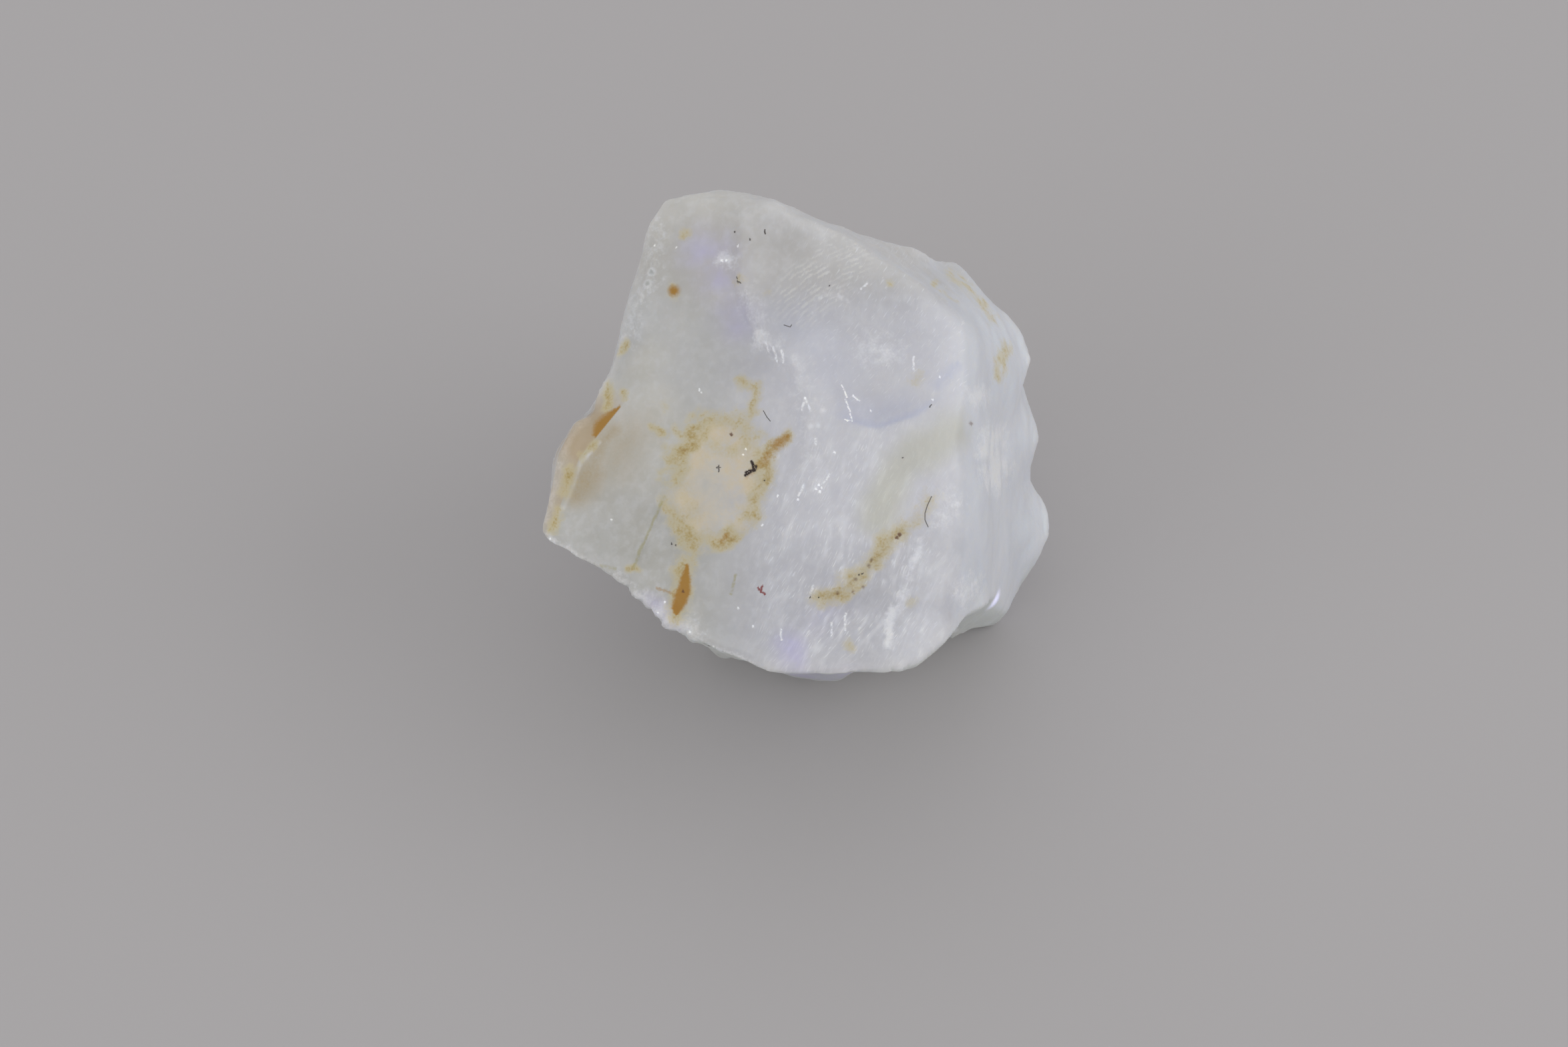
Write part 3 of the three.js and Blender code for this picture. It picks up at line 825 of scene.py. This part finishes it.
lit_foot = larger(step_up(up, *ABOVE_FOOT), 0.4 * step_up(across, *BRIGHT_FOOT))
bright = step_up(across, *BRIGHT_FROM) * lit_foot * (1 - 0.9 * step_up(up, *DIM_TOP))
colour = blend_colours(step_up(soft_cloud, 0.35, 0.65) * 0.5, GREY_MILK, WARM_MILK)
colour = blend_colours(step_up(across, *COOL_FROM), colour, COOL_MILK)
colour = blend_colours(step_up(up, *TOP_FROM) * 0.7, colour, TOP_MILK)
colour = blend_colours(bright, colour, BRIGHT_MILK)
low_left = (1 - step_up(up, *LOW_BELOW)) * (1 - step_up(across, *LEFT_FROM))
colour = blend_colours(low_left * 0.7, colour, LOW_MILK)
colour = blend_colours(step_up(across, *BAND_FROM), colour, BAND_MILK)
# Painted light: the flanks, neither face nor underside, whiter towards the right, partly the
# stone's own milk.
painted_lit_flank = (1 - on_face) * (1 - on_under) * (0.4 + 0.6 * step_up(across, *FLANK_FROM))
colour = blend_colours(painted_lit_flank, colour, PAINTED_LIT_FLANK_MILK)
colour = blend_colours(on_under * 0.8, colour, GREEN_MILK)
mottle = 0.5 * patchy + 0.5 * step_up(coarse_grain, 0.42, 0.68)
colour = blend_colours(mottle * 0.35, colour, MOTTLE_WHITE)
tell_nodes()

# %% [markdown]
# ## Veils and grooves
#
# Inside the stone lie white veils, drawn out along one direction of the crystal, mostly in
# its right half. They are noise on a map that is turned to their direction and stretched
# along it, and softly bent. Near the far rim a fan of fine grooves crosses the face, drawn in
# colour: painted shade in the troughs and painted light on the crests. The grooves are rings
# around a point well off to the lower right, so that only short arcs of them show.

# %% Veils
VEIL_LEAN = math.radians(26)
HAIR_LEAN = VEIL_LEAN + 0.1
SCRATCH_LEAN = math.radians(52)
VEIL_BEND = 0.03
VEIL_WAVER = 0.5
VEIL_WHITE = paint(248, 249, 253)


def streaked(east, north, lean, width, length):
    """Noise drawn out into streaks that lean to the right from the map's own up."""
    beside = east * math.cos(lean) - north * math.sin(lean)
    beyond = east * math.sin(lean) + north * math.cos(lean)
    curved = beside + VEIL_BEND * beyond * beyond + VEIL_WAVER * soft_cloud
    return cloud(flat_map(curved * (1 / width), beyond * (1 / length)), pitch=1.0, detail=1.0)


veil_zone = step_up(across, -1.1, 0.0) * (1 - 0.8 * step_up(across, 1.2, 2.4)) * on_face
veil_zone = veil_zone * (1 - 0.85 * step_up(up, 2.2, 3.4)) * (0.3 + 0.7 * patchy)
wide_streaks = streaked(across, up, VEIL_LEAN, width=0.1, length=0.34)
veils = step_up(wide_streaks, low=0.42, high=0.8) * veil_zone
thin_streaks = streaked(across, up, HAIR_LEAN, width=0.02, length=0.15)
hairs = step_up(thin_streaks, low=0.56, high=0.74) * veil_zone
colour = blend_colours(veils * 0.4, colour, VEIL_WHITE)
colour = blend_colours(hairs * 0.8, colour, VEIL_WHITE)
scratch_zone = step_up(up, 2.4, 3.6) * step_up(across, -0.6, 0.4) * on_face
steep_streaks = streaked(across, up, SCRATCH_LEAN, width=0.022, length=0.14)
scratches = step_up(steep_streaks, low=0.6, high=0.78) * scratch_zone
colour = blend_colours(scratches * 0.6, colour, VEIL_WHITE)
tell_nodes()

# %% The fan of grooves, in painted light and shade
FAN_HUB = (2.0, 2.2, 0)
GROOVE_SCALE = 4.4
PAINTED_GROOVE_LIGHT = paint(240, 239, 234)
PAINTED_GROOVE_SHADE = paint(196, 195, 196)

fan_map = vector_maths("SUBTRACT", ragged, FAN_HUB)
fan_settings = {"wave_type": "RINGS", "rings_direction": "Z"}
fan_sockets = {"Vector": fan_map, "Scale": GROOVE_SCALE, "Distortion": 3.0, "Detail": 1.0}
fan_wave = Wire.node("ShaderNodeTexWave", fan_settings, fan_sockets)
crests = step_up(Wire(fan_wave.outputs["Fac"]), 0.35, 0.9)
fan = step_up(field("grooves"), 0.0, 0.7) * step_up(coarse_grain, 0.38, 0.58)
fan = fan * (0.3 + 0.7 * patchy)
# Painted shade in the troughs, painted light on the crests.
colour = blend_colours(fan * (1 - crests) * 0.25, colour, PAINTED_GROOVE_SHADE)
colour = blend_colours(fan * crests * 0.45, colour, PAINTED_GROOVE_LIGHT)
tell_nodes()

# %% [markdown]
# ## Painted sheens, white patches and painted highlights
#
# Some patches are painted lilac or bluish sheens, light given back by the stone and laid into
# its colour: three spots near the top left, the foot of the face, and a shell-shaped hollow on
# the right whose lower edge is bluest. An olive haze lies below it. White patches and flecks
# are places where the stone is bruised, and the crumbled front edge and the bubbly bevel are
# bruised all along. The bright edge of the foot and the clouds on the right flank are partly
# painted highlights. The two largest bubbles are drawn one by one, each a grey hollow of
# painted shade in a white ring of painted highlight.

# %% Painted lilac and blue sheens, and olive
PAINTED_LILAC_SHEEN = paint(210, 206, 240)
PAINTED_BLUE_SHEEN = paint(203, 207, 227)
OLIVE = paint(208, 207, 188)

# Painted sheen: lilac and blue light given back, laid into the base colour.
lilac = step_up(field("lilac"), 0.0, 1.0) * (0.42 + 0.3 * patchy)
colour = blend_colours(lilac, colour, PAINTED_LILAC_SHEEN)
blue = larger(field("blue"), step_up(field("under_blue"), 0.0, 0.7) * 0.6)
colour = blend_colours(blue * 0.65, colour, PAINTED_BLUE_SHEEN)
colour = blend_colours(step_up(field("olive"), 0.0, 0.9) * 0.52, colour, OLIVE)
tell_nodes()

# %% White
PALE_STROKES = [
    [(0.04, 3.25), (0.0, 3.08)],
    [(0.04, 3.25), (0.12, 3.08)],
    [(0.4, 2.14), (0.3, 2.0)],
    [(0.02, 1.99), (-0.05, 1.84)],
    [(0.2, 2.66), (0.2, 2.58)],
    [(0.63, 0.13), (0.63, -0.11)],
    [(0.43, -0.01), (0.42, -0.18)],
    [(0.16, 0.53), (0.13, 0.43)],
    [(1.62, 3.86), (1.63, 3.67)],
    [(0.86, 4.85), (0.96, 4.93)],
    [(-0.3, -0.1), (-0.3, -0.24)],
    [(-0.52, 4.08), (-0.48, 3.94)],
    [(-0.42, 4.0), (-0.36, 3.8)],
    [(-0.29, 3.95), (-0.27, 3.78)],
]
CURL = [(0.17, 4.5), (0.2, 4.66), (0.33, 4.77), (0.53, 4.75), (0.69, 4.66)]
PALE_LUMPS = [(0.12, 2.84), (0.23, 2.85), (0.3, 3.07), (-1.64, -0.14), (-2.75, 0.5), (-3.2, 0.76)]
CRACKLE = [
    [(0.58, 3.44), (0.66, 3.26)],
    [(0.74, 3.28), (0.85, 3.21)],
    [(0.64, 3.23), (0.68, 3.11), (0.73, 2.91), (0.62, 2.94)],
]

broken_up = step_up(fine_grain, 0.38, 0.55)
pale_strokes = strokes(ragged, PALE_STROKES, reach=0.028, core=0.003)
pale_strokes = pale_strokes * (0.35 + 0.65 * broken_up)
crackle = strokes(ragged, CRACKLE, reach=0.017, core=0.003) * (0.3 + 0.7 * broken_up)
pale_lumps = blots(ragged, PALE_LUMPS, reach=0.07)
flecks = larger(pale_strokes * 0.65, crackle, pale_lumps * 0.6) * on_face
under_white = stain(field("under_white"), grit_share=1.4, low=0.1, high=1.0) * 0.6
curl = stroke(ragged, CURL, reach=0.05) * (0.2 + 0.8 * step_up(coarse_grain, 0.4, 0.6)) * 0.4
# White bruising and flecks, with the painted highlights of the white field.
white_and_painted_highlights = stain(field("white_and_painted_highlights"), grit_share=1.6, low=0.05, high=0.9) * 0.65
white_and_painted_highlights = larger(white_and_painted_highlights, flecks, curl * on_face, under_white)
colour = blend_colours(white_and_painted_highlights, colour, VEIL_WHITE)
tell_nodes()

# %% Bubbles on the left bevel, in painted light and shade
BUBBLES = [(-2.21, 5.13), (-2.27, 4.96)]
PAINTED_BUBBLE_SHADE = paint(188, 191, 188)

# Painted highlight: a white ring round each bubble.
painted_ring_highlights = blots(ragged, BUBBLES, reach=0.09, core=0.04) * 0.45
colour = blend_colours(painted_ring_highlights, colour, VEIL_WHITE)
# Painted shade: a grey hollow in each bubble.
painted_hollow_shade = blots(ragged, BUBBLES, reach=0.055, core=0.01) * 0.8
colour = blend_colours(painted_hollow_shade, colour, PAINTED_BUBBLE_SHADE)
tell_nodes()

# %% [markdown]
# ## Rust
#
# Water has carried iron into the stone's cracks and left it on the skin. The largest stain is
# a beige egg with a grainy, darker edge and a paler heart. A tail runs down from it, a hook
# goes up and a short arm reaches out to the right. More rust fills the wedge above the left
# crease, the curved ledge at the lower right and the rim at the top right. The back gets
# stray rust where the noise runs high, no more than a stone like this would have.

# %% Beige washes, and painted shade and highlight at the crease
BEIGE = paint(222, 210, 187)
BEVEL_BEIGE = paint(195, 170, 130)
PAINTED_SHADE_BROWN = paint(194, 178, 146)
CREASE_BLUR = 0.015
# Along the crease's lip runs a pale painted highlight.
CREASE_LIP = [(-2.97, 2.62), (-3.24, 2.33), (-3.36, 1.97), (-3.49, 1.66)]

upper_side = left_of(face_map, LEFT_CREASE[2], LEFT_CREASE[0])
lower_side = left_of(face_map, LEFT_CREASE[3], LEFT_CREASE[2])
bevel_side = step_up(larger(upper_side, lower_side), -CREASE_BLUR, CREASE_BLUR)
beige = field("beige")
colour = blend_colours(beige * (0.4 + 0.45 * patchy + 1.5 * grit), colour, BEIGE)
bevel_wash = step_up(field("bevel_stain"), 0.0, 0.95) * bevel_side
colour = blend_colours(bevel_wash * 0.75, colour, BEVEL_BEIGE)
# Painted shade, brownish, on the face's side of the left crease.
shade = step_up(field("painted_crease_shade"), 0.0, 0.9) * (1 - bevel_side)
colour = blend_colours(shade * (0.75 + 1.2 * grit), colour, PAINTED_SHADE_BROWN)
# Painted highlight: a pale line along the crease's lip.
painted_lip_highlight = stroke(face_map, CREASE_LIP, reach=0.05) * (0.3 + 0.7 * patchy)
colour = blend_colours(painted_lip_highlight * 0.55, colour, VEIL_WHITE)
tell_nodes()

# %% Thin rust
RUST_WASH = paint(208, 197, 160)
OCHRE = paint(189, 166, 102)
OLIVE_RUST = paint(186, 180, 130)
BROWN_OCHRE = paint(170, 136, 74)
FINE_RUST = [CRACK[:4], [(-2.93, 0.81), (-2.73, 0.77)], [(-0.96, 0.68), (-1.03, 0.41)]]

thin_field = field("thin_rust")
thin_wash = stain(thin_field, grit_share=0.7, low=0.08, high=0.6)
thin_grains = stain(thin_field, grit_share=1.8, low=0.42, high=1.0)
brown_grains = stain(thin_field, grit_share=2.6, low=0.85, high=1.35)
fine_rust = strokes(ragged, FINE_RUST, reach=0.035, core=0.005)
fine_rust = fine_rust * on_face * step_up(grit, -0.2, 0.1) * 0.6
hidden_rust = stain(field("hidden_rust"), grit_share=2.0, low=0.25, high=0.95) * 0.5
colour = blend_colours(larger(thin_wash * 0.75, hidden_rust), colour, RUST_WASH)
colour = blend_colours(thin_grains * 0.75, colour, OCHRE)
colour = blend_colours(fine_rust, colour, OLIVE_RUST)
colour = blend_colours(brown_grains * 0.65, colour, BROWN_OCHRE)
tell_nodes()

# %% Dark rust
DARK_OCHRE = paint(181, 137, 54)
ORANGE_DOT = (-1.88, 4.85)
SIDE_STREAK = [(-2.1, 0.49), (-1.88, 0.41)]

wedge_side = larger(step_up(upper_side, -0.012, 0.012), step_up(across, -2.5, -2.4))
dark_rust = stain(field("dark_rust"), grit_share=0.8, low=0.12, high=0.8) * wedge_side
dot = blot(ragged, ORANGE_DOT, reach=0.125, core=0.02) * on_face
streak = stroke(ragged, SIDE_STREAK, reach=0.035) * on_face * 0.5
dark_rust = larger(dark_rust, dot, streak)
colour = blend_colours(dark_rust, colour, DARK_OCHRE)
tell_nodes()

# %% [markdown]
# ## Specks, fibres and painted sparkles
#
# A few black and brown specks and a red one sit on the skin, with two dendrites inside the
# great stain, and three fibres of dust lie on the face. The sparkles are painted highlights
# that stand in for broken corners of crystal catching a lamp: pinpoints too small for any
# mesh, which shine a little by themselves. Two larger painted glints, on the flank and below,
# are lilac.

# %% Specks and fibres
BLACK_SPECKS = [(-0.99, 5.71), (-0.76, 5.59), (0.4, 4.9), (1.45, 2.38), (-0.54, 2.05)]
FRONT_SPECKS = [(-1.9, 1.13), (-1.83, 1.11), (0.82, 0.69), (0.87, 0.7), (0.24, 0.36), (0.12, 0.36)]
BROWN_SPECKS = [(-1.73, 0.44), (-1.03, 2.73), (2.47, 2.89), (1.42, 1.27), (1.38, 1.22)]
LEDGE_SPECKS = [(1.0, 0.9), (0.96, 0.82), (0.77, 0.62), (0.89, 0.51), (0.74, 0.44), (0.52, 0.42)]
DASHES = [
    [(-0.54, 5.72), (-0.54, 5.67)],
    [(-0.95, 5.03), (-0.94, 5.01)],
    [(-0.94, 4.97), (-0.9, 4.95)],
    [(1.88, 3.15), (1.86, 3.12)],
]
DENDRITE = [
    [(-0.73, 2.33), (-0.71, 2.28), (-0.7, 2.22)],
    [(-0.67, 2.26), (-0.69, 2.2), (-0.77, 2.19), (-0.81, 2.17)],
    [(-0.72, 2.2), (-0.78, 2.16), (-0.82, 2.13)],
]
SMALL_DENDRITE = [[(-1.22, 2.27), (-1.22, 2.19)], [(-1.25, 2.24), (-1.22, 2.26), (-1.19, 2.24)]]
RED_SPECK = [[(-0.64, 0.5), (-0.59, 0.44), (-0.54, 0.41)], [(-0.59, 0.44), (-0.58, 0.52)]]
FIBRES = [
    [(1.88, 1.82), (1.82, 1.69), (1.785, 1.58), (1.785, 1.48), (1.83, 1.38)],
    [(-0.26, 4.32), (-0.17, 4.29), (-0.15, 4.32)],
    [(-0.56, 3.07), (-0.51, 2.98), (-0.46, 2.92)],
]
BLACK = paint(40, 14, 6)
BROWN = paint(112, 70, 40)
RED = paint(150, 56, 56)

brown = blots(ragged, BROWN_SPECKS, reach=0.04, core=0.012)
brown = larger(brown, blots(ragged, LEDGE_SPECKS, reach=0.042) * 0.7)
colour = blend_colours(on_face * brown * 0.85, colour, BROWN)
red = strokes(ragged, RED_SPECK, reach=0.026, core=0.006)
colour = blend_colours(on_face * red * 0.9, colour, RED)
dendrite = strokes(face_map, DENDRITE, reach=0.034, core=0.01)
dendrite = dendrite * step_up(fine_grain, 0.3, 0.42)
thin_black = strokes(ragged, DASHES + SMALL_DENDRITE, reach=0.017, core=0.004) * 0.85
fibres = strokes(face_map, FIBRES, reach=0.01, core=0.003) * 0.8
specks = blots(ragged, BLACK_SPECKS + FRONT_SPECKS, reach=0.019, core=0.006) * 0.9
black = larger(specks, dendrite, thin_black, fibres) * on_face
colour = blend_colours(black, colour, BLACK)
tell_nodes()

# %% Painted sparkles
# Painted highlights: the points where sparkles glow by themselves.
PAINTED_HIGHLIGHT_POINTS = [
    (0.25, 1.99), (0.21, 1.93), (0.26, 1.89), (0.29, 1.94), (0.04, 3.25), (0.74, 3.28), (1.0, 3.07),
    (1.9, 3.23), (2.01, 3.56), (0.47, 2.46), (-0.06, 1.77), (-0.35, 1.83), (-0.57, 1.41),
    (-0.82, 2.51), (-0.86, 2.43), (-1.17, 5.29), (-1.1, 5.29), (-0.94, 5.5), (-2.17, 5.53),
    (-1.85, 5.49), (-1.47, 3.34), (-1.5, 3.38), (-1.99, 0.29), (-2.09, 0.13), (-1.29, -0.35),
    (-1.62, -0.15), (-3.69, 1.2), (-3.55, 0.99), (-3.19, 0.8), (-0.7, -0.06), (-0.92, 0.2),
    (-2.78, 1.48),
]
SPARKLE_CELLS = 5.0
SPARKLE_GLOW = 0.4
SPARKLE_WHITE = (0.95, 0.97, 1.0, 1.0)
PAINTED_GLINT_LILAC = (1.0, 0.98, 1.6, 1.0)
NO_LIGHT = (0, 0, 0, 1)

# Painted highlights also glow from a few chosen noise cells in the veils and white patches, and
# faintly along the crackle and pale strokes.
cell_sockets = {"Vector": point, "Scale": SPARKLE_CELLS}
cells = Wire.node("ShaderNodeTexVoronoi", {"feature": "F1"}, cell_sockets)
cell_tint = Wire.node("ShaderNodeSeparateColor", None, {0: Wire(cells.outputs["Color"])})
chosen = step_up(Wire(cell_tint.outputs[0]), 0.75, 0.78)
stray = step_up(Wire(cells.outputs["Distance"]), 0.08, 0.02) * chosen * larger(veil_zone, white_and_painted_highlights)
painted_points_of_light = blots(ragged, PAINTED_HIGHLIGHT_POINTS, reach=0.024, core=0.006)
painted_sparkles = larger(painted_points_of_light, stray * 0.4, crackle * 0.4, pale_strokes * 0.25) * on_face
painted_glow = blend_colours(painted_sparkles, NO_LIGHT, SPARKLE_WHITE)
# Painted glint: the lilac glow at the two glint spots.
painted_glow = blend_colours(field("painted_glint"), painted_glow, PAINTED_GLINT_LILAC)
tell_nodes()

# %% [markdown]
# ## Substance
#
# Clear feldspar lets light through; clouded feldspar scatters it under the skin. The stone is
# both, so two principled shaders are mixed: a milky one whose light wanders about a
# millimetre before it comes out, and a clear one that bends light as feldspar does. A mask
# says how clear the stone is from place to place. Stains and veils sit in the milky part.

# %% Relief too fine for the mesh
FINE_DEPTH = 0.008 * MM
MILKY_ROUGHNESS = 0.36
RUST_ROUGHNESS = 0.2

bump_sockets = {"Strength": 1.0, "Distance": FINE_DEPTH, "Height": coarse_grain}
bumped = Wire(Wire.node("ShaderNodeBump", None, bump_sockets).outputs["Normal"])
gloss = MILKY_ROUGHNESS + RUST_ROUGHNESS * thin_wash
print("fine relief, mm:", FINE_DEPTH / MM)

# %% Milky and clear, mixed
SCATTER_REACH = 0.8 * MM
SCATTER_SHARES = (0.9, 1.0, 1.15)
FELDSPAR_IOR = 1.55
CLEAR_ROUGHNESS = 0.22
CLEAR_SHARE = 0.16
UNDER_CLEARER = 0.12
CLOUD_HIDES = 0.08
BRIGHT_HIDES = 0.05
VEIL_HIDES = 0.6
MARK_HIDES = 0.85

clearness = CLEAR_SHARE - CLOUD_HIDES * step_up(soft_cloud, 0.4, 0.62)
clearness = clearness - BRIGHT_HIDES * bright + UNDER_CLEARER * on_under
marked = larger(thin_wash, dark_rust, beige, white_and_painted_highlights, black)
clearness = clearness * (1 - VEIL_HIDES * veils) * (1 - MARK_HIDES * marked)
milky_sockets = {
    "Base Color": colour,
    "Roughness": gloss,
    "IOR": FELDSPAR_IOR,
    "Normal": bumped,
    "Subsurface Weight": 1.0,
    "Subsurface Radius": SCATTER_SHARES,
    "Subsurface Scale": SCATTER_REACH,
    # The emission carries only the painted sparkles and glints.
    "Emission Color": painted_glow,
    "Emission Strength": SPARKLE_GLOW,
}
milky_settings = {"subsurface_method": "RANDOM_WALK"}
milky = Wire.node("ShaderNodeBsdfPrincipled", milky_settings, milky_sockets)
clear_sockets = {
    "Base Color": colour,
    "Roughness": CLEAR_ROUGHNESS,
    "IOR": FELDSPAR_IOR,
    "Normal": bumped,
    "Transmission Weight": 1.0,
}
clear = Wire.node("ShaderNodeBsdfPrincipled", None, clear_sockets)
both = {0: clearness, 1: Wire(milky.outputs[0]), 2: Wire(clear.outputs[0])}
mixed = Wire.node("ShaderNodeMixShader", None, both)
Wire.node("ShaderNodeOutputMaterial", None, {"Surface": Wire(mixed.outputs[0])})
skin.materials.clear()
skin.materials.append(andesine)
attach(stone, "root")
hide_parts("andesine_stone")
print("nodes in the shader:", len(Wire.tree.nodes))

# %% [markdown]
# ## Floor and light
#
# The stone lies on a plain pale sheet under a bright, even sky. One large soft lamp low on the
# right lights the flank, and a weaker one low on the left lifts the shadow, so nothing stands
# where the broad face would mirror it.

# %% Floor
FLOOR_SIDE = 3.0
FLOOR_COLOUR = paint(188, 185, 186)
FLOOR_ROUGHNESS = 0.9

floor_mesh = bpy.data.meshes.new("floor")
corner = FLOOR_SIDE / 2
corners = [(-corner, -corner, 0), (corner, -corner, 0), (corner, corner, 0), (-corner, corner, 0)]
floor_mesh.from_pydata(corners, [], [(0, 1, 2, 3)])
floor = new_object("floor", floor_mesh)
sheet = bpy.data.materials.new("pale_sheet")
start_nodes(sheet)
sheet_sockets = {"Base Color": FLOOR_COLOUR, "Roughness": FLOOR_ROUGHNESS}
pale = Wire.node("ShaderNodeBsdfPrincipled", None, sheet_sockets)
Wire.node("ShaderNodeOutputMaterial", None, {"Surface": Wire(pale.outputs[0])})
floor_mesh.materials.append(sheet)
print("floor side, m:", FLOOR_SIDE)

# %% Sky and lamps
SKY_STRENGTH = 0.634
LAMP_SIDE = 180 * MM
LAMPS = {"right_lamp": ((190, -20, 110), 0.1), "left_lamp": ((-200, -130, 120), 0.08)}

sky = bpy.data.worlds.new("even_sky")
start_nodes(sky)
sky_sockets = {"Color": (1.0, 1.0, 1.0, 1.0), "Strength": SKY_STRENGTH}
background = Wire.node("ShaderNodeBackground", None, sky_sockets)
Wire.node("ShaderNodeOutputWorld", None, {"Surface": Wire(background.outputs[0])})
bpy.context.scene.world = sky

for name, (place, watts) in LAMPS.items():
    soft_light = bpy.data.lights.new(name, "AREA")
    soft_light.size = LAMP_SIDE
    soft_light.energy = watts
    lamp = new_object(name, soft_light)
    lamp.location = Vector(place) * MM
    lamp.rotation_mode = "QUATERNION"
    lamp.rotation_quaternion = lamp.location.to_track_quat("Z", "Y")
    print(name, "stands, mm away:", round(lamp.location.length / MM))
bpy.context.scene.view_settings.view_transform = "Standard"
